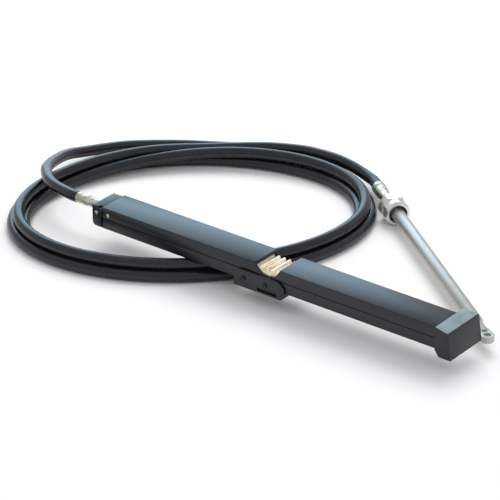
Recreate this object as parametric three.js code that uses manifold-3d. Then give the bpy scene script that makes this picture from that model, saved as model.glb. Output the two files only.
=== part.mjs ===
// Boat steering cable: a rack-and-channel helm unit, a push-pull conduit lying in a
// coil, and an output end with a coupling nut and a sliding ram. Millimetres, +Z up.
import * as THREE from 'three';
import { mergeVertices } from 'three/addons/utils/BufferGeometryUtils.js';
import Module from 'manifold-3d';

const wasm = await Module();
wasm.setup();

// Clearance
const GAP = 0.3;

// Conduit and its lay: a bundle of turns on an ellipse, lying on the floor
const CONDUIT_D = 14;
const CONDUIT_SIDES = 10;
const COIL_CENTRE = [-203, 102.7];
const COIL_HALF_LONG = 209;
const COIL_HALF_SHORT = 151;
const COIL_TILT = 46;
const STRAND_PITCH = 14.5;
const FLOOR_GAP = 0.2;
const COIL_STATIONS = 36;

// Rack housing: a closed channel
const HOUSING_RIGHT = 234.7;
const HOUSING_LENGTH = 474.4;
const HOUSING_WIDTH = 42;
const HOUSING_HEIGHT = 27.4;
const WALL = 3;
const GROOVE_WIDTH = 1.6;
const GROOVE_DEPTH = 0.9;

// Pinion window through the top and both side walls
const WINDOW_CENTRE_X = 4.4;
const WINDOW_RADIUS = 18.7;
const WINDOW_DEPTH = 13;

// Rack bar
const RACK_LENGTH = 268;
const TOOTH_PITCH = 7.85;
const TOOTH_DEPTH = 5.6;
const TOOTH_TIP = 2.2;
const TOOTH_ROOT = 2.4;
const RACK_HEIGHT = 18.4;
const END_PLAY = 1.2;

// End fitting and end cap
const FITTING_LENGTH = 14;
const FITTING_POCKET = 10.6;
const FITTING_LIFT = 0.8;
const FITTING_OVERHANG = 0.8;
const CORNER_RADIUS = 6;
const EDGE_RADIUS = 1.2;
const NOTCH_SIZE = [5, 4.5, 2.2];
const CAP_TOP_LENGTH = 17.4;
const CAP_TOP_FALL = 3.6;
const CAP_FOOT_SLANT = 5.9;
const CAP_POCKET = 14;
const CAP_DRAFT = 4.6;
const CAP_OVERHANG = 1.5;
const CAP_SHELF = 18;
const CAP_CHAMFER = [6, 5];
const CAP_RISE = 0.4;
const FOOT_DROP = 8.4;

// Saddle bracket
const SADDLE_LEFT = -42;
const SADDLE_RIGHT = 30;
const SADDLE_PLATE = 2.6;
const SADDLE_PLATE_TOP = 14;
const SADDLE_SHOULDER = 7;
const POCKET_X = [-8, 20];
const POCKET_HEIGHT = 4;
const POCKET_DEPTH = 4;
const POCKET_SILL = 2.2;

// Screws
const SCREW_D = 6.4;
const SCREW_HEAD = 1.8;
const SADDLE_SCREWS_X = [-28, 3];
const SADDLE_SCREW_RISE = 3.4;
const END_SCREW_D = 5;
const END_SCREWS_X = [7, 24];
const END_SCREW_DROP = 8;

// Input ferrule
const FERRULE_LENGTH = 44;
const FERRULE_D = 13.4;
const FERRULE_COLLAR_D = 16.4;
const FERRULE_COLLAR = 3;
const FERRULE_Y = 4;
const CRIMP_DEPTH = 0.7;
const CRIMP_LENGTH = 3;
const CRIMP_SLOPE = 1;
const CRIMPS_AT = [6, 18];
const RIM_CHAMFER = 0.7;

// Output end, measured along the ram's own axis
const RAM_START = [20, 226.8];
const RAM_DIR = new THREE.Vector3(0.8033, -0.5955, 0).normalize();
const NUT_FLATS = 31.75;
const NUT_LENGTH = 27;
const NUT_REAR = -49;
const NUT_HEX_LENGTH = 15;
const NUT_COLLAR_D = 31.4;
const NUT_CHAMFER = 3;
const NUT_BORE_D = 23;
const NUT_REAR_WALL = 5;
const THREAD_PITCH = 2.4;
const THREAD_DEPTH = 0.8;
const THREAD_TURNS = 6;
const THREAD_INSET = 2;
const OUT_FERRULE_LENGTH = 51;
const OUT_FERRULE_D = 17;
const OUT_FERRULE_SLEEVE = 15;
const NECK_D = 13.3;
const FLANGE_D = 20;
const FLANGE_LENGTH = 3;
const FLANGE_BACK = 3;
const RAM_D = 15.875;
const RAM_WALL = 2.9;
const RAM_TIP = 16;
const RAM_TUBE_LENGTH = 294;
const RAM_TAPER = 6;
const RAM_NECK_D = 11.5;
const EYE_REACH = 37;
const EYE_WIDTH = 15.4;
const EYE_THICKNESS = 7.6;
const EYE_HOLE_D = 8;
const GUIDE_LENGTH = 276;

// Heights that follow from the lay: the housing lies on the coil, the nut on the floor
const strandR = STRAND_PITCH / Math.sqrt(3);
const conduitR = CONDUIT_D / 2;
const coilTop = FLOOR_GAP + CONDUIT_D + STRAND_PITCH * Math.sqrt(3) / 2;
const housingBottom = coilTop + GAP;
const housingTop = housingBottom + HOUSING_HEIGHT;
const footBottom = housingBottom - FOOT_DROP;
const ramZ = NUT_FLATS / 2;

// Lengthwise stations of the helm unit
const housingRight = HOUSING_RIGHT;
const capX = housingRight + GAP;
const housingLeft = housingRight - HOUSING_LENGTH;
const fittingRight = housingLeft - GAP;
const fittingLeft = fittingRight - FITTING_LENGTH;
const cavityHalf = HOUSING_WIDTH / 2 - WALL;
const cavityFloor = housingBottom + WALL;
const cavityRoof = housingTop - WALL;

function toManifold(geometry) {
  const g = geometry.clone();
  g.deleteAttribute('normal');
  g.deleteAttribute('uv');
  const merged = mergeVertices(g, 1e-4);
  const solid = new wasm.Manifold(new wasm.Mesh({
    numProp: 3,
    vertProperties: new Float32Array(merged.attributes.position.array),
    triVerts: new Uint32Array(merged.index.array),
  }));
  return solid;
}

function toGeometry(solid) {
  const mesh = solid.getMesh();
  const g = new THREE.BufferGeometry();
  g.setAttribute('position', new THREE.BufferAttribute(new Float32Array(mesh.vertProperties), 3));
  g.setIndex(new THREE.BufferAttribute(new Uint32Array(mesh.triVerts), 1));
  g.computeVertexNormals();
  return g;
}

function box(x0, x1, y0, y1, z0, z1) {
  const g = new THREE.BoxGeometry(x1 - x0, y1 - y0, z1 - z0);
  g.translate((x0 + x1) / 2, (y0 + y1) / 2, (z0 + z1) / 2);
  return toManifold(g);
}

// A polygon in X and Z, carried from y0 to y1
function prismAlongY(points, y0, y1) {
  const shape = new THREE.Shape(points.map(([x, z]) => new THREE.Vector2(x, z)));
  const g = new THREE.ExtrudeGeometry(shape, { depth: y1 - y0, bevelEnabled: false });
  g.rotateX(Math.PI / 2);
  g.translate(0, y1, 0);
  return toManifold(g);
}

// A polygon in Y and Z, carried from x0 to x1
function prismAlongX(points, x0, x1) {
  const shape = new THREE.Shape(points.map(([y, z]) => new THREE.Vector2(y, z)));
  const g = new THREE.ExtrudeGeometry(shape, { depth: x1 - x0, bevelEnabled: false });
  const basis = new THREE.Matrix4().makeBasis(
    new THREE.Vector3(0, 1, 0), new THREE.Vector3(0, 0, 1), new THREE.Vector3(1, 0, 0));
  g.applyMatrix4(basis);
  g.translate(x0, 0, 0);
  return toManifold(g);
}

function roundedRect(y0, y1, z0, z1, radii, steps = 4) {
  const [bl, br, tr, tl] = radii;
  const corners = [
    [y0 + bl, z0 + bl, bl, Math.PI], [y1 - br, z0 + br, br, Math.PI * 1.5],
    [y1 - tr, z1 - tr, tr, 0], [y0 + tl, z1 - tl, tl, Math.PI / 2],
  ];
  const points = [];
  for (const [cy, cz, r, from] of corners) {
    if (r === 0) {
      points.push([cy, cz]);
      continue;
    }
    for (let i = 0; i <= steps; i++) {
      const a = from + (Math.PI / 2) * (i / steps);
      points.push([cy + r * Math.cos(a), cz + r * Math.sin(a)]);
    }
  }
  return points;
}

// A solid of revolution: the profile is [along, radius] and its axis is +X
function turned(profile, sides = 24) {
  const g = new THREE.LatheGeometry(profile.map(([t, r]) => new THREE.Vector2(r, t)), sides);
  g.rotateZ(-Math.PI / 2);
  const solid = toManifold(g);
  return solid;
}

const ramAngle = Math.atan2(RAM_DIR.y, RAM_DIR.x) * 180 / Math.PI;

// Turns a solid made along +X into the ram's line
function alongRam(solid) {
  return solid.rotate([0, 0, ramAngle]).translate([RAM_START[0], RAM_START[1], ramZ]);
}

const group = new THREE.Group();
const FINISH = {
  blackPaint: new THREE.MeshStandardMaterial({ color: 0x3f4d57, roughness: 0.45, metalness: 0.3 }),
  blueCap: new THREE.MeshStandardMaterial({ color: 0x5d6a72, roughness: 0.5, metalness: 0.3 }),
  grease: new THREE.MeshStandardMaterial({ color: 0xd9ccae, roughness: 0.5, metalness: 0.2 }),
  zinc: new THREE.MeshStandardMaterial({ color: 0xb3ad90, roughness: 0.4, metalness: 0.9 }),
  steel: new THREE.MeshStandardMaterial({ color: 0xc4c0b8, roughness: 0.25, metalness: 1 }),
  jacket: new THREE.MeshStandardMaterial({ color: 0x1b2328, roughness: 0.45, metalness: 0 }),
};
const own = [];

function add(name, solid, material, isCord = false) {
  const mesh = new THREE.Mesh(toGeometry(solid), material);
  mesh.name = name;
  group.add(mesh);
  if (!isCord) own.push(mesh);
  return mesh;
}

// Rack housing: a channel closed on four sides, with the pinion window across it
const half = HOUSING_WIDTH / 2;
const midZ = (housingBottom + housingTop) / 2;
const windowCut = turned([[0, 0], [0, WINDOW_RADIUS], [HOUSING_WIDTH * 1.5, WINDOW_RADIUS],
  [HOUSING_WIDTH * 1.5, 0]], 48)
  .rotate([0, 0, 90])
  .translate([WINDOW_CENTRE_X, -HOUSING_WIDTH * 0.75, housingTop - WINDOW_DEPTH + WINDOW_RADIUS]);
const groove = box(housingLeft - 1, housingRight + 1, -half - 1, -half + GROOVE_DEPTH,
  midZ - GROOVE_WIDTH / 2, midZ + GROOVE_WIDTH / 2);
const cavity = box(housingLeft - 1, housingRight + 1, -cavityHalf, cavityHalf, cavityFloor, cavityRoof);
const housing = prismAlongX(
  roundedRect(-half, half, housingBottom, housingTop,
    [EDGE_RADIUS, EDGE_RADIUS, EDGE_RADIUS, EDGE_RADIUS], 2), housingLeft, housingRight)
  .subtract(cavity).subtract(groove).subtract(windowCut);
add('rack_housing', housing, FINISH.blackPaint);

// Rack bar: teeth up, at the right-hand end of its travel
const rackRight = capX + CAP_POCKET - END_PLAY;
const rackLeft = rackRight - RACK_LENGTH;
const rackFloor = cavityFloor + GAP;
const rackTip = rackFloor + RACK_HEIGHT;
const rackRoot = rackTip - TOOTH_DEPTH;
const teeth = Math.floor(RACK_LENGTH / TOOTH_PITCH);
const flank = (TOOTH_PITCH - TOOTH_TIP - TOOTH_ROOT) / 2;
const rackProfile = [[rackLeft, rackFloor], [rackRight, rackFloor], [rackRight, rackRoot]];
for (let i = 0; i < teeth; i++) {
  const x = rackRight - TOOTH_PITCH * i - TOOTH_ROOT / 2;
  rackProfile.push([x, rackRoot], [x - flank, rackTip],
    [x - flank - TOOTH_TIP, rackTip], [x - 2 * flank - TOOTH_TIP, rackRoot]);
}
const lastX = rackRight - TOOTH_PITCH * (teeth - 1) - TOOTH_ROOT / 2 - 2 * flank - TOOTH_TIP;
if (lastX - rackLeft > 0.01) rackProfile.push([rackLeft, rackRoot]);
const rackHalf = cavityHalf - GAP;
add('rack_bar', prismAlongY(rackProfile, -rackHalf, rackHalf), FINISH.grease);

// End cap: a drafted block that closes the right end, with the channel's pocket in it
const capNear = -half - CAP_OVERHANG;
const capFar = half + CAP_SHELF;
const capTop = housingTop + CAP_RISE;
const capBottomX = capX + CAP_TOP_LENGTH + CAP_DRAFT;
const capSide = prismAlongY([
  [capX, housingBottom - GAP], [capX + CAP_FOOT_SLANT, footBottom], [capBottomX, footBottom],
  [capX + CAP_TOP_LENGTH, capTop - CAP_TOP_FALL], [capX, capTop]], capNear, capFar);
const capFace = prismAlongX([
  [capNear, footBottom - 1], [capFar, footBottom - 1], [capFar, capTop - CAP_CHAMFER[1]],
  [capFar - CAP_CHAMFER[0], capTop], [capNear, capTop]], capX - 1, capBottomX + 1);
const capPocket = box(capX - 1, capX + CAP_POCKET, -cavityHalf, cavityHalf, cavityFloor, cavityRoof);
add('end_cap', capSide.intersect(capFace).subtract(capPocket), FINISH.blueCap);

// End fitting: closes the left end and carries the input ferrule, pocketed for the rack
const fittingNear = -half - FITTING_OVERHANG;
const fittingBottom = housingBottom + FITTING_LIFT;
const fittingSide = prismAlongY(
  roundedRect(fittingLeft, fittingRight, fittingBottom, housingTop,
    [CORNER_RADIUS, 0, 0, EDGE_RADIUS]), fittingNear, half);
const fittingFace = prismAlongX(
  roundedRect(fittingNear, half, fittingBottom, housingTop,
    [EDGE_RADIUS, CORNER_RADIUS / 2, CORNER_RADIUS, EDGE_RADIUS]), fittingLeft - 1, fittingRight + 1);
const fittingPocket = box(fittingRight - FITTING_POCKET, fittingRight + 1,
  -cavityHalf, cavityHalf, cavityFloor, cavityRoof);
const fittingNotch = box(fittingRight - NOTCH_SIZE[0], fittingRight + 1,
  fittingNear - 1, fittingNear + NOTCH_SIZE[1], housingTop - NOTCH_SIZE[2], housingTop + 1);
add('end_fitting', fittingSide.intersect(fittingFace).subtract(fittingPocket).subtract(fittingNotch),
  FINISH.blackPaint);

// Input ferrule: a collar on the fitting, then a crimped sleeve
const ferruleRight = fittingLeft - GAP;
const ferruleLeft = ferruleRight - FERRULE_LENGTH;
const fr = FERRULE_D / 2;
// Profile points of one crimp round a sleeve of radius r
function crimp(at, r) {
  return [[at, r], [at + CRIMP_SLOPE, r - CRIMP_DEPTH],
    [at + CRIMP_SLOPE + CRIMP_LENGTH, r - CRIMP_DEPTH], [at + 2 * CRIMP_SLOPE + CRIMP_LENGTH, r]];
}
const inputFerrule = turned([
  [0, 0], [0, fr - RIM_CHAMFER], [RIM_CHAMFER, fr], ...crimp(CRIMPS_AT[0], fr), ...crimp(CRIMPS_AT[1], fr),
  [FERRULE_LENGTH - FERRULE_COLLAR, fr], [FERRULE_LENGTH - FERRULE_COLLAR, FERRULE_COLLAR_D / 2],
  [FERRULE_LENGTH, FERRULE_COLLAR_D / 2], [FERRULE_LENGTH, 0]]);
add('input_ferrule', inputFerrule.translate([ferruleLeft, FERRULE_Y, midZ]), FINISH.zinc);

// Saddle bracket: a block under the channel with a plate up each side
const plateNear = -half - GAP - SADDLE_PLATE;
const plateTop = housingBottom + SADDLE_PLATE_TOP;
const plateOutline = [
  [SADDLE_LEFT, footBottom], [SADDLE_RIGHT - 4, footBottom], [SADDLE_RIGHT, footBottom + 4],
  [SADDLE_RIGHT, plateTop - SADDLE_SHOULDER], [SADDLE_RIGHT - SADDLE_SHOULDER, plateTop - 1],
  [SADDLE_RIGHT - SADDLE_SHOULDER - 4, plateTop], [SADDLE_LEFT + SADDLE_SHOULDER + 4, plateTop],
  [SADDLE_LEFT + SADDLE_SHOULDER, plateTop - 1], [SADDLE_LEFT, plateTop - SADDLE_SHOULDER]];
const saddle = prismAlongY(plateOutline, plateNear, -plateNear)
  .subtract(windowCut)
  .subtract(box(SADDLE_LEFT - 1, SADDLE_RIGHT + 1, -half - GAP, half + GAP,
    housingBottom - GAP, housingTop + 1))
  .subtract(box(POCKET_X[0], POCKET_X[1], plateNear - 1, plateNear + POCKET_DEPTH,
    footBottom + POCKET_SILL, footBottom + POCKET_SILL + POCKET_HEIGHT));
add('saddle_bracket', saddle, FINISH.blackPaint);

// A domed screw head standing on a face that looks toward -Y
function screwHead(x, y, z, d) {
  const r = d / 2;
  return turned([[0, 0], [0, r], [SCREW_HEAD * 0.5, r], [SCREW_HEAD, r * 0.6], [SCREW_HEAD, 0]], 16)
    .rotate([0, 0, -90]).translate([x, y - GAP, z]);
}
const saddleScrewZ = housingBottom + SADDLE_SCREW_RISE;
SADDLE_SCREWS_X.forEach((x, i) => {
  add(`saddle_screw_${i + 1}`, screwHead(x, plateNear, saddleScrewZ, SCREW_D), FINISH.blackPaint);
});
const endScrewZ = housingTop - END_SCREW_DROP;
add('end_screw_1', screwHead(fittingLeft + END_SCREWS_X[0], fittingNear, endScrewZ, END_SCREW_D), FINISH.zinc);
add('end_screw_2', screwHead(fittingLeft + END_SCREWS_X[1], -half, endScrewZ, END_SCREW_D), FINISH.zinc);

// Output ferrule: tapered sleeve, neck through the nut, flange that the nut pulls on
const neckR = NECK_D / 2;
const ferruleBack = NUT_REAR - OUT_FERRULE_LENGTH;
const flangeBack = NUT_REAR + NUT_REAR_WALL + FLANGE_BACK;
const flangeFront = flangeBack + FLANGE_LENGTH;
const outR = OUT_FERRULE_D / 2;
const outFerrule = turned([
  [ferruleBack, 0], [ferruleBack, outR - RIM_CHAMFER], [ferruleBack + RIM_CHAMFER, outR],
  ...crimp(ferruleBack + OUT_FERRULE_SLEEVE / 2, outR),
  [ferruleBack + OUT_FERRULE_SLEEVE, outR], [ferruleBack + OUT_FERRULE_SLEEVE * 2, neckR],
  [flangeBack, neckR], [flangeBack, FLANGE_D / 2], [flangeFront, FLANGE_D / 2], [flangeFront, 0]]);
add('output_ferrule', alongRam(outFerrule), FINISH.zinc);

// Coupling nut: hexagon behind, round chamfered collar in front, bored for the thread
const nutFront = NUT_REAR + NUT_LENGTH;
const hexR = NUT_FLATS / Math.sqrt(3);
const hexEnd = NUT_REAR + NUT_HEX_LENGTH;
const hexPoints = [];
for (let i = 0; i < 6; i++) {
  const a = Math.PI / 3 * i;
  hexPoints.push([hexR * Math.cos(a), hexR * Math.sin(a)]);
}
const nutOuter = prismAlongX(hexPoints, NUT_REAR, hexEnd)
  .intersect(turned([[NUT_REAR - 1, 0], [NUT_REAR - 1, NUT_FLATS / 2 - 0.6],
    [NUT_REAR + NUT_CHAMFER, hexR], [hexEnd - 1.5, hexR], [hexEnd, NUT_FLATS / 2 + 0.6],
    [hexEnd + 1, 0]], 36))
  .add(turned([[hexEnd - 2, 0], [hexEnd - 2, NUT_COLLAR_D / 2], [nutFront - NUT_CHAMFER, NUT_COLLAR_D / 2],
    [nutFront, NUT_COLLAR_D / 2 - NUT_CHAMFER * 0.7], [nutFront, 0]], 36));
const boreR = NUT_BORE_D / 2;
const boreProfile = [[NUT_REAR - 1, 0], [NUT_REAR - 1, neckR + GAP], [NUT_REAR + NUT_REAR_WALL, neckR + GAP],
  [NUT_REAR + NUT_REAR_WALL, boreR]];
for (let i = THREAD_TURNS; i > 0; i--) {
  const t = nutFront - THREAD_INSET - THREAD_PITCH * i;
  boreProfile.push([t, boreR], [t + THREAD_PITCH / 2, boreR + THREAD_DEPTH]);
}
boreProfile.push([nutFront - THREAD_INSET, boreR], [nutFront + 1, boreR], [nutFront + 1, 0]);
const nutBore = turned(boreProfile, 24);
add('coupling_nut', alongRam(nutOuter.subtract(nutBore)), FINISH.steel);

// Ram tube: bored from the back, closed and flattened to an eye at the front
const ramBack = flangeFront + GAP;
const ramR = RAM_D / 2;
const ramBoreR = ramR - RAM_WALL;
const tubeEnd = ramBack + RAM_TUBE_LENGTH;
const eyeT = tubeEnd + EYE_REACH;
const tubeBody = turned([[ramBack, 0], [ramBack, ramR], [tubeEnd, ramR],
  [tubeEnd + RAM_TAPER, RAM_NECK_D / 2], [eyeT - EYE_WIDTH * 0.6, RAM_NECK_D / 2], [eyeT - EYE_WIDTH * 0.6, 0]]);
const eyeOutline = new THREE.Shape();
eyeOutline.moveTo(eyeT - EYE_WIDTH, -RAM_NECK_D / 2);
eyeOutline.lineTo(eyeT, -EYE_WIDTH / 2);
eyeOutline.absarc(eyeT, 0, EYE_WIDTH / 2, -Math.PI / 2, Math.PI / 2, false);
eyeOutline.lineTo(eyeT - EYE_WIDTH, RAM_NECK_D / 2);
eyeOutline.closePath();
const eyeHole = new THREE.Path();
eyeHole.absarc(eyeT, 0, EYE_HOLE_D / 2, 0, Math.PI * 2, true);
eyeOutline.holes.push(eyeHole);
const eyeGeometry = new THREE.ExtrudeGeometry(eyeOutline,
  { depth: EYE_THICKNESS, bevelEnabled: false, curveSegments: 12 });
eyeGeometry.translate(0, 0, -EYE_THICKNESS / 2);
const ramBore = turned([[ramBack - 1, 0], [ramBack - 1, ramBoreR], [tubeEnd - RAM_TIP, ramBoreR],
  [tubeEnd - RAM_TIP, 0]]);
add('ram_tube', alongRam(tubeBody.add(toManifold(eyeGeometry)).subtract(ramBore)), FINISH.steel);

// Guide tube: fixed to the ferrule, the ram slides over it
const guideBack = flangeFront + GAP;
const guideR = ramBoreR - GAP;
add('guide_tube', alongRam(turned([[guideBack, 0], [guideBack, guideR],
  [guideBack + GUIDE_LENGTH, guideR], [guideBack + GUIDE_LENGTH, 0]])), FINISH.steel);

// Conduit: the coil's outer shape, and the two leads that leave it
const tilt = COIL_TILT * Math.PI / 180;
function coilPoint(angle) {
  const c = COIL_HALF_LONG * Math.cos(angle);
  const s = COIL_HALF_SHORT * Math.sin(angle);
  return new THREE.Vector3(
    COIL_CENTRE[0] + c * Math.cos(tilt) - s * Math.sin(tilt),
    COIL_CENTRE[1] + c * Math.sin(tilt) + s * Math.cos(tilt), 0);
}

function coilOutward(angle) {
  const c = Math.cos(angle) / COIL_HALF_LONG;
  const s = Math.sin(angle) / COIL_HALF_SHORT;
  return new THREE.Vector3(
    c * Math.cos(tilt) - s * Math.sin(tilt), c * Math.sin(tilt) + s * Math.cos(tilt), 0).normalize();
}

// Three turns side by side and on each other: a rounded triangle carried round the ellipse
function coilSection(grow) {
  const r = conduitR + grow;
  const out = STRAND_PITCH / 2;
  const low = FLOOR_GAP + conduitR;
  const high = coilTop - conduitR;
  const points = [];
  for (const [x, z, from, to, n] of [
    [-out, low, 150, 270, 4], [out, low, 270, 390, 4], [0, high, 30, 150, 4]]) {
    for (let i = 0; i <= n; i++) {
      const a = (from + (to - from) * i / n) * Math.PI / 180;
      points.push([x + r * Math.cos(a), z + r * Math.sin(a)]);
    }
  }
  return points;
}

function coilSolid(grow) {
  const section = coilSection(grow);
  const n = section.length;
  const positions = [];
  const index = [];
  for (let i = 0; i < COIL_STATIONS; i++) {
    const angle = Math.PI * 2 * i / COIL_STATIONS;
    const p = coilPoint(angle);
    const out = coilOutward(angle);
    for (const [x, z] of section) positions.push(p.x + out.x * x, p.y + out.y * x, z);
    const j = (i + 1) % COIL_STATIONS;
    for (let k = 0; k < n; k++) {
      const m = (k + 1) % n;
      index.push(i * n + k, j * n + m, i * n + m, i * n + k, j * n + k, j * n + m);
    }
  }
  const g = new THREE.BufferGeometry();
  g.setAttribute('position', new THREE.Float32BufferAttribute(positions, 3));
  g.setIndex(index);
  return toManifold(g);
}
const coil = coilSolid(0);
add('conduit_coil', coil, FINISH.jacket, true);

class Route extends THREE.Curve {
  constructor(points) {
    super();
    this.points = points;
  }

  getPoint(t) {
    const n = this.points.length - 1;
    const i = Math.min(Math.floor(t * n), n - 1);
    return this.points[i].clone().lerp(this.points[i + 1], t * n - i);
  }

  getPointAt(t) {
    return this.getPoint(t);
  }

  getTangentAt(t) {
    const d = 0.5 / (this.points.length - 1);
    return this.getPoint(Math.min(t + d, 1)).sub(this.getPoint(Math.max(t - d, 0))).normalize();
  }

  getTangent(t) {
    return this.getTangentAt(t);
  }
}

function tube(points) {
  const section = new THREE.Shape();
  for (let i = 0; i < CONDUIT_SIDES; i++) {
    const a = Math.PI * 2 * i / CONDUIT_SIDES;
    const [x, y] = [conduitR * Math.cos(a), conduitR * Math.sin(a)];
    if (i === 0) section.moveTo(x, y);
    else section.lineTo(x, y);
  }
  section.closePath();
  const route = new Route(points.map((p) => new THREE.Vector3(...p)));
  return toManifold(new THREE.ExtrudeGeometry(section,
    { steps: points.length - 1, bevelEnabled: false, extrudePath: route }));
}

// The largest body left after a cut
function largest(solid) {
  const bodies = solid.decompose();
  bodies.sort((a, b) => b.volume() - a.volume());
  return bodies[0];
}

// Input lead: from the ferrule over the coil, down to the floor and in beside the coil
const inputRoute = [
  [ferruleLeft - GAP, FERRULE_Y, midZ], [ferruleLeft - GAP - 8, FERRULE_Y, midZ],
  [-318, 6.2, midZ - 0.5], [-331, 9.6, 39.4], [-345, 14, 38.6],
  [-361, 23, 37.4], [-379, 39, 35], [-390, 51.5, 33], [-401, 71, 29], [-409, 90, 24.5],
  [-415.6, 111.5, 20], [-417.6, 129.6, 16], [-414, 150, 12], [-403, 180.5, 8.4], [-390, 201, 7.4],
  [-372.6, 218, 7.2], [-345, 240, 7.2], [-316.7, 259, 7.2], [-270, 286, 7.2], [-225, 301, 7.2],
  [-180, 306, 7.2], [-135, 301, 7.2], [-110, 294, 7.2]];
const spacer = coilSolid(GAP);
add('conduit_input_lead', largest(tube(inputRoute).subtract(spacer)), FINISH.jacket, true);

// Output lead: off the top of the coil, over the input lead and into the ferrule
const exit = new THREE.Vector3(RAM_START[0], RAM_START[1], ramZ).addScaledVector(RAM_DIR, ferruleBack - GAP);
const behind = exit.clone().addScaledVector(RAM_DIR, -16);
const outputRoute = [
  [-268, 257, 21.5], [-243, 275, 21.6], [-219, 291, 21.8], [-186, 304.5, 21.9], [-160, 309, 21.9],
  [-138, 309.5, 21.4], [-118, 308, 19.6], [-100, 304.5, 17.2], [-87, 303.5, 16.2],
  [behind.x, behind.y, behind.z], [exit.x, exit.y, exit.z]];
add('conduit_output_lead', largest(tube(outputRoute).subtract(spacer)), FINISH.jacket, true);

// The origin goes to the bottom centre of the helm unit and the output end together
const bounds = new THREE.Box3();
own.forEach((mesh) => {
  mesh.geometry.computeBoundingBox();
  bounds.union(mesh.geometry.boundingBox);
});
const centre = bounds.getCenter(new THREE.Vector3());
group.children.forEach((mesh) => {
  mesh.geometry.translate(-centre.x, -centre.y, -bounds.min.z);
});

export default group;
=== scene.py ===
"""Boat steering cable in a plain pale studio: rack channel, coiled conduit, coupling nut and ram.

Metres, +Z up.
"""
import math

import bpy
from mathutils import Matrix, Vector


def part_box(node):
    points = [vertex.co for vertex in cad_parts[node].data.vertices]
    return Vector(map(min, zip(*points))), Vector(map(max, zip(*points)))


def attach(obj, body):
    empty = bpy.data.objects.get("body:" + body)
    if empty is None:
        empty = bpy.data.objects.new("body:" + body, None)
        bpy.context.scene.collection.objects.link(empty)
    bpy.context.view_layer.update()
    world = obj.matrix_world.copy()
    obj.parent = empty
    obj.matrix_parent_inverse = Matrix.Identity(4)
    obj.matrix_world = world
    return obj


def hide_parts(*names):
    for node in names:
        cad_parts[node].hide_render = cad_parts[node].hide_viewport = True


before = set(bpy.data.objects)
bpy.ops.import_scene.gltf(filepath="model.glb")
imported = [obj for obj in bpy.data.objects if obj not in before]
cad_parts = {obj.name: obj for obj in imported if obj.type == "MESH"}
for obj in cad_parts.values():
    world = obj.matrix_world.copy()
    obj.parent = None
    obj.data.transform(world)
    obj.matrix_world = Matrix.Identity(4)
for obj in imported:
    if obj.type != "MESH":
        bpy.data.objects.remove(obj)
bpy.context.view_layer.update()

# Sizes taken from the frame
MM = 0.001
HOUSING_LOW, HOUSING_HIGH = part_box("rack_housing")
FERRULE_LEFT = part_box("input_ferrule")[0][0]
HOUSING_LEFT = -239.7 * MM
LAYOUT = Vector((HOUSING_LOW[0] - HOUSING_LEFT, (HOUSING_LOW[1] + HOUSING_HIGH[1]) / 2, 0))
MID_HEIGHT = (HOUSING_LOW[2] + HOUSING_HIGH[2]) / 2

# The conduit's lay, as in the part's source: angles are in degrees, but the tilt in radians
CONDUIT_D = 14 * MM
COIL_CENTRE = Vector((-203 * MM, 102.7 * MM, 0))
COIL_HALF_LONG = 209 * MM
COIL_HALF_SHORT = 151 * MM
COIL_TILT = math.radians(46)
STRAND_PITCH = 14.5 * MM
STRAND_RADIUS = STRAND_PITCH / math.sqrt(3)
STRANDS = 3
FLOOR_HEIGHT = 7.2 * MM
COIL_START = 8
COIL_END = -1000
COIL_STEP = 18
TWIST_FROM = -205
TWIST_TO = -350
FIRST_SLOT = 330
SLOT_ANGLE = 120
CURVE_STEPS = 5
CURVE_ROUNDNESS = 8

# The two ends: the input ferrule's line, and the ram's
FERRULE_Y = 4 * MM
RAM_START = Vector((20 * MM, 226.8 * MM, 15.875 * MM))
RAM_DIR = Vector((0.8033, -0.5955, 0)).normalized()
FERRULE_BACK = -100 * MM
STRAIGHT_END = 16 * MM
GAP = 0.3 * MM

# Leads in layout millimetres: no height means the middle of the housing
INPUT_ROUTE = [
    (-306.3, 4, None), (-318, 6.2, 40.3), (-331, 9.6, 39.4), (-345, 14, 38.6), (-361, 23, 37.4),
    (-379, 39, 35.3), (-390, 51.5, 33.4), (-401, 71, 29), (-409, 90, 24.5), (-415.6, 111.5, 20),
    (-417.6, 129.6, 16), (-414, 150, 12), (-403, 180.5, 8.4), (-390, 201, 7.4), (-372.6, 218, 7.2),
    (-345, 240, 7.2), (-316.7, 259, 7.2), (-270, 286, 7.2), (-225, 302.5, 7.2), (-180, 306.5, 7.2),
    (-140, 301.5, 7.2), (-103, 288.5, 7.2)]
OUTPUT_ROUTE = [
    (-243, 272, 21.5), (-219, 288, 21.8), (-186, 303, 21.9), (-160, 307.6, 21.9), (-138, 308.8, 21.4),
    (-118, 307.9, 19.6), (-100, 305.1, 17.4), (-87, 301.5, 16.3)]

# Materials and refined pieces
NOISE_ROUGHNESS = 0.55
MERGE_DISTANCE = 0.02 * MM
FLAT_ANGLE = math.radians(1)
BEVEL_SEGMENTS = 3
BEVEL_ANGLE = math.radians(30)
SMOOTH_ANGLE = math.radians(35)
SLOT_LENGTH = 3.6 * MM
SLOT_WIDTH = 0.8 * MM
SLOT_DEPTH = 0.7 * MM
UPWARD = 0.9

# Camera and studio
CAMERA_LENS = 216
CAMERA_SENSOR = 36
CAMERA_REACH = 20
CAMERA_PLACE = Vector((1.82663, -2.40505, 1.62548))
CAMERA_LINE = Vector((-0.54405, 0.7024, -0.45896))
FLOOR_SIZE = 30
FLOOR_DROP = 0.5 * MM
FLOOR_COLOUR = (0.93, 0.93, 0.93)
FLOOR_ROUGHNESS = 0.9
FLOOR_SPECULAR = 0.1
WORLD_COLOUR = (0.97, 0.985, 1, 1)
WORLD_STRENGTH = 0.7
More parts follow.
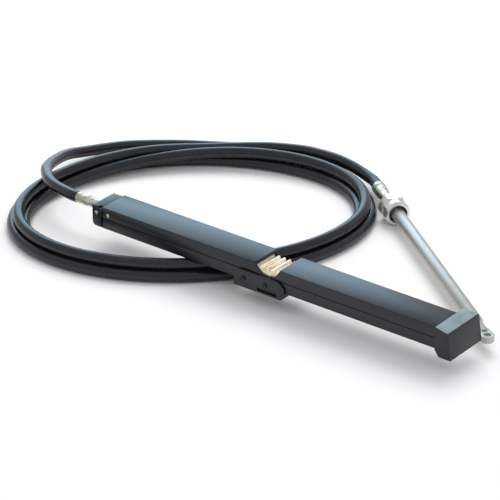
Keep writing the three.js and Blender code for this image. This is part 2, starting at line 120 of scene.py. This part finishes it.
# Each light's name, place, size, power and colour
LIGHTS = [
    ("key", (-0.9, 1.6, 2.6), 2.2, 60, (1, 1, 1)),
    ("fill", (1.6, -1.8, 2.2), 2.0, 12, (1, 0.99, 0.97)),
    ("sheen", (-1.5, 1.35, 1.0), 1.7, 24, (0.50, 0.78, 1)),
]


def layout(x, y, z):
    """A point of the layout, given in millimetres, in the frame."""
    return LAYOUT + Vector((x, y, z)) * MM


# Camera: a long lens, looking along the photograph's line
def aim_camera():
    camera = bpy.data.objects.new("camera", bpy.data.cameras.new("camera"))
    bpy.context.collection.objects.link(camera)
    camera.data.lens = CAMERA_LENS
    camera.data.sensor_width = CAMERA_SENSOR
    camera.data.clip_end = CAMERA_REACH
    camera.location = LAYOUT + CAMERA_PLACE
    camera.rotation_euler = CAMERA_LINE.to_track_quat("-Z", "Y").to_euler()
    bpy.context.scene.camera = camera


aim_camera()


# Conduit: one spline from ferrule to ferrule
def coil_twist(theta):
    """How far the bundle has turned about its own middle, in degrees."""
    turn = math.floor((COIL_START - theta) / 360)
    local = theta + 360 * turn
    share = min(max((TWIST_FROM - local) / (TWIST_FROM - TWIST_TO), 0), 1)
    return -SLOT_ANGLE * (turn + share * share * (3 - 2 * share))


def coil_point(theta):
    """The conduit's middle at an angle round the coil, lying on the floor or on its own turns."""
    a = math.radians(theta)
    along = Vector((math.cos(COIL_TILT), math.sin(COIL_TILT), 0))
    across = Vector((-along.y, along.x, 0))
    middle = COIL_CENTRE + along * COIL_HALF_LONG * math.cos(a) + across * COIL_HALF_SHORT * math.sin(a)
    outward = (along * math.cos(a) / COIL_HALF_LONG + across * math.sin(a) / COIL_HALF_SHORT).normalized()
    slot = FIRST_SLOT + coil_twist(theta)
    lowest = max(-math.sin(math.radians(slot + SLOT_ANGLE * k)) for k in range(STRANDS))
    height = FLOOR_HEIGHT + STRAND_RADIUS * (lowest + math.sin(math.radians(slot)))
    return (LAYOUT + middle + outward * STRAND_RADIUS * math.cos(math.radians(slot))
            + Vector((0, 0, height)))


def conduit_points():
    points = [Vector((FERRULE_LEFT - GAP, LAYOUT.y + FERRULE_Y, MID_HEIGHT))]
    for x, y, z in INPUT_ROUTE:
        points.append(layout(x, y, MID_HEIGHT / MM if z is None else z))
    points += [coil_point(theta) for theta in range(COIL_START, COIL_END - 1, -COIL_STEP)]
    points += [layout(*p) for p in OUTPUT_ROUTE]
    end = LAYOUT + RAM_START + RAM_DIR * (FERRULE_BACK - GAP)
    return points + [end - RAM_DIR * STRAIGHT_END, end]


def smooth_line(points, steps):
    """The points with a smooth curve laid through them."""
    line = []
    last = len(points) - 1
    for i in range(last):
        a, b, c, d = points[max(i - 1, 0)], points[i], points[i + 1], points[min(i + 2, last)]
        for s in range(steps):
            t = s / steps
            line.append(0.5 * (2 * b + (c - a) * t + (2 * a - 5 * b + 4 * c - d) * t * t
                               + (3 * b - a - 3 * c + d) * t * t * t))
    line.append(points[-1])
    return line


def lay_conduit():
    """The conduit's curve, its line of points and its length."""
    line = smooth_line(conduit_points(), CURVE_STEPS)
    data = bpy.data.curves.new("conduit", "CURVE")
    data.dimensions = "3D"
    # The conduit's radius is on the points, so that the curve's box is its own
    data.bevel_depth = 1
    data.bevel_resolution = CURVE_ROUNDNESS
    data.use_fill_caps = True
    spline = data.splines.new("POLY")
    spline.points.add(len(line) - 1)
    for p, co in zip(spline.points, line):
        p.co = (*co, 1)
        p.radius = CONDUIT_D / 2
    spline.use_smooth = True
    curve = bpy.data.objects.new("conduit", data)
    bpy.context.collection.objects.link(curve)
    return curve, line, sum((b - a).length for a, b in zip(line, line[1:]))


conduit, conduit_line, conduit_length = lay_conduit()
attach(conduit, "base")
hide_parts("conduit_coil", "conduit_input_lead", "conduit_output_lead")


# Materials
def new_material(name, colour, roughness, metallic=0.0):
    material = bpy.data.materials.new(name)
    material.use_nodes = True
    shader = material.node_tree.nodes["Principled BSDF"]
    shader.inputs["Base Color"].default_value = (*colour, 1)
    shader.inputs["Roughness"].default_value = roughness
    shader.inputs["Metallic"].default_value = metallic
    material.diffuse_color = (*colour, 1)
    return material, material.node_tree, shader


def noise(tree, scale, detail, stretch=(1, 1, 1)):
    """Noise on the piece's own coordinates, stretched along an axis."""
    place = tree.nodes.new("ShaderNodeTexCoord")
    mapping = tree.nodes.new("ShaderNodeMapping")
    mapping.inputs["Scale"].default_value = stretch
    texture = tree.nodes.new("ShaderNodeTexNoise")
    texture.inputs["Scale"].default_value = scale
    texture.inputs["Detail"].default_value = detail
    texture.inputs["Roughness"].default_value = NOISE_ROUGHNESS
    tree.links.new(place.outputs["Object"], mapping.inputs["Vector"])
    tree.links.new(mapping.outputs["Vector"], texture.inputs["Vector"])
    return texture.outputs["Fac"]


def ramp(tree, source, stops, target):
    """Colours the source by stops of place and colour, and feeds a shader's input."""
    node = tree.nodes.new("ShaderNodeValToRGB")
    elements = node.color_ramp.elements
    while len(elements) < len(stops):
        elements.new(0.5)
    for element, (at, colour) in zip(elements, stops):
        element.position = at
        element.color = (*colour, 1)
    tree.links.new(source, node.inputs["Fac"])
    tree.links.new(node.outputs["Color"], target)


def bump(tree, shader, source, strength, distance):
    node = tree.nodes.new("ShaderNodeBump")
    node.inputs["Strength"].default_value = strength
    node.inputs["Distance"].default_value = distance
    tree.links.new(source, node.inputs["Height"])
    tree.links.new(node.outputs["Normal"], shader.inputs["Normal"])


def finish(name, base, tone, stops, relief, grain=None, rough=None, metallic=0.0, specular=0.5):
    """A material. Noise sets its tone; the grain, or else that noise, its roughness and relief."""
    colour, roughness = base
    material, tree, shader = new_material(name, colour, roughness, metallic)
    shader.inputs["Specular IOR Level"].default_value = specular
    texture = noise(tree, *tone)
    ramp(tree, texture, stops, shader.inputs["Base Color"])
    if grain:
        texture = noise(tree, *grain)
    if rough:
        greys = [(at, (v, v, v)) for at, v in zip((0.3, 0.7), rough)]
        ramp(tree, texture, greys, shader.inputs["Roughness"])
    bump(tree, shader, texture, *relief)
    return material


# Cap materials: the black paint of the sides, and the lighter blue-grey painted sheen of the top
def cap_material(name, dark, light):
    return finish(name, (light, 0.42), (60, 4), [(0.35, dark), (0.65, light)],
                  (0.15, 0.0002), grain=(700, 3), specular=0.4)


def stainless(name, dark, light, smooth, rough):
    return finish(name, (light, smooth), (260, 3, (0.15, 1, 1)), [(0.3, dark), (0.7, light)],
                  (0.03, 0.0001), rough=(smooth, rough), metallic=0.8)


NUT_STEEL = stainless("nut_steel", (0.62, 0.61, 0.58), (0.82, 0.81, 0.78), 0.22, 0.32)
# The cap's upward faces: painted sheen in blue-grey, lighter than the black sides
CAP_TOP_PAINTED_SHEEN = cap_material("cap_top_painted_sheen", (0.19, 0.25, 0.28), (0.27, 0.34, 0.38))

FINISHES = {
    "channel_black": finish(
        "channel_paint", ((0.012, 0.017, 0.022), 0.34), (9, 3),
        [(0.35, (0.005, 0.006, 0.007)), (0.65, (0.008, 0.010, 0.012))],
        (0.12, 0.0002), grain=(900, 3), rough=(0.30, 0.40), specular=0.45),
    "cap_blue_grey": cap_material("cap_material", (0.008, 0.010, 0.012), (0.014, 0.017, 0.020)),
    # The rack's cream grease; the brown streaks across the rack are painted shade in the tooth valleys,
    # with the grease's own yellow-brown tone
    "rack_greased": finish(
        "greased_steel_valley_shade", ((0.85, 0.78, 0.62), 0.32), (260, 5, (1.6, 0.22, 1)),
        [(0.30, (0.42, 0.26, 0.09)), (0.40, (0.74, 0.56, 0.28)),
         (0.47, (0.88, 0.81, 0.64)), (0.75, (0.95, 0.92, 0.84))],
        (0.4, 0.0006)),
    "ferrule_zinc": finish(
        "zinc_plate", ((0.55, 0.53, 0.42), 0.32), (160, 4),
        [(0.30, (0.26, 0.25, 0.18)), (0.48, (0.56, 0.54, 0.42)), (0.72, (0.76, 0.74, 0.64))],
        (0.15, 0.0003), rough=(0.42, 0.26), metallic=0.9),
    "stainless": stainless("stainless", (0.45, 0.43, 0.40), (0.53, 0.51, 0.47), 0.42, 0.50),
    "conduit_jacket": finish(
        "jacket_plastic", ((0.005, 0.008, 0.011), 0.28), (30, 4),
        [(0.35, (0.004, 0.006, 0.008)), (0.65, (0.007, 0.011, 0.015))],
        (0.08, 0.0002), grain=(500, 4), rough=(0.24, 0.34), specular=0.45),
}
conduit.data.materials.append(FINISHES["conduit_jacket"])

SCREWS = ("saddle_screw_1", "saddle_screw_2", "end_screw_1", "end_screw_2")
SLOT_OF = {
    "rack_housing": "channel_black", "end_fitting": "channel_black", "saddle_bracket": "channel_black",
    "saddle_screw_1": "channel_black", "saddle_screw_2": "channel_black", "end_screw_1": "ferrule_zinc",
    "end_screw_2": "ferrule_zinc", "end_cap": "cap_blue_grey", "rack_bar": "rack_greased",
    "input_ferrule": "ferrule_zinc", "output_ferrule": "ferrule_zinc", "coupling_nut": "stainless",
    "ram_tube": "stainless", "guide_tube": "stainless",
}


def paint(piece, slot):
    piece.data.materials.clear()
    piece.data.materials.append(FINISHES[slot])


for node, slot in SLOT_OF.items():
    paint(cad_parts[node], slot)


# Refined pieces: the solid's own shape, with its edges broken
def refine(node, body, edge):
    """A copy of a node, merged, with bevelled edges, that stands for it."""
    bpy.ops.object.select_all(action="DESELECT")
    piece = bpy.data.objects.new(node + "_fine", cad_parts[node].data.copy())
    bpy.context.collection.objects.link(piece)
    piece.matrix_world = Matrix.Identity(4)
    bpy.context.view_layer.objects.active = piece
    piece.select_set(True)
    bpy.ops.object.mode_set(mode="EDIT")
    bpy.ops.mesh.select_all(action="SELECT")
    bpy.ops.mesh.remove_doubles(threshold=MERGE_DISTANCE)
    bpy.ops.mesh.dissolve_limited(angle_limit=FLAT_ANGLE)
    bpy.ops.object.mode_set(mode="OBJECT")
    modifier = piece.modifiers.new("edges", "BEVEL")
    modifier.width = edge
    modifier.segments = BEVEL_SEGMENTS
    modifier.limit_method = "ANGLE"
    modifier.angle_limit = BEVEL_ANGLE
    modifier.use_clamp_overlap = True
    bpy.ops.object.modifier_apply(modifier="edges")
    bpy.ops.object.shade_smooth_by_angle(angle=SMOOTH_ANGLE)
    paint(piece, SLOT_OF[node])
    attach(piece, body)
    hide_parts(node)
    return piece


def cut_slot(piece, node):
    """A driver slot across a screw head, cut from its near face."""
    low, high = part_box(node)
    middle = (Vector(low) + Vector(high)) / 2
    bpy.ops.object.select_all(action="DESELECT")
    bpy.ops.mesh.primitive_cube_add(size=1, location=(middle.x, low[1], middle.z))
    cutter = bpy.context.object
    cutter.scale = (SLOT_LENGTH, SLOT_DEPTH * 2, SLOT_WIDTH)
    bpy.context.view_layer.objects.active = piece
    modifier = piece.modifiers.new("slot", "BOOLEAN")
    modifier.operation = "DIFFERENCE"
    modifier.object = cutter
    bpy.ops.object.modifier_apply(modifier="slot")
    bpy.data.objects.remove(cutter)


refine("rack_housing", "base", 0.5 * MM)
cap = refine("end_cap", "base", 0.9 * MM)
refine("end_fitting", "base", 0.8 * MM)
refine("saddle_bracket", "base", 0.8 * MM)
nut = refine("coupling_nut", "nut", 0.3 * MM)
refine("ram_tube", "ram", 0.3 * MM)
refine("rack_bar", "rack", 0.25 * MM)
refine("input_ferrule", "base", 0.15 * MM)
refine("output_ferrule", "base", 0.15 * MM)
for screw in SCREWS:
    cut_slot(refine(screw, "base", 0.15 * MM), screw)

# The nut is brighter than the ram
nut.data.materials[0] = NUT_STEEL

# The cap's top is lighter than its sides: a painted sheen on its upward faces, standing in for light
# mirrored in the top
cap.data.materials.append(CAP_TOP_PAINTED_SHEEN)
for face in cap.data.polygons:
    if face.normal.z > UPWARD:
        face.material_index = 1


# Studio: pale floor, soft light from above, and a low blue light mirrored in the tops
def build_studio():
    bpy.ops.mesh.primitive_plane_add(size=FLOOR_SIZE, location=(0, 0, -FLOOR_DROP))
    floor = bpy.context.object
    floor.name = "floor"
    material, _, shader = new_material("floor_white", FLOOR_COLOUR, FLOOR_ROUGHNESS)
    shader.inputs["Specular IOR Level"].default_value = FLOOR_SPECULAR
    floor.data.materials.append(material)
    world = bpy.data.worlds.new("studio")
    bpy.context.scene.world = world
    world.use_nodes = True
    background = world.node_tree.nodes["Background"]
    background.inputs["Color"].default_value = WORLD_COLOUR
    background.inputs["Strength"].default_value = WORLD_STRENGTH
    for name, place, size, power, colour in LIGHTS:
        light = bpy.data.objects.new(name, bpy.data.lights.new(name, "AREA"))
        light.data.size = size
        light.data.energy = power
        light.data.color = colour
        light.location = place
        light.rotation_euler = (-Vector(place)).to_track_quat("-Z", "Y").to_euler()
        # The sheen is only mirrored, and the key and the fill only light
        light.visible_diffuse = name != "sheen"
        light.visible_glossy = name == "sheen"
        bpy.context.collection.objects.link(light)
    bpy.context.scene.view_settings.view_transform = "Standard"


build_studio()
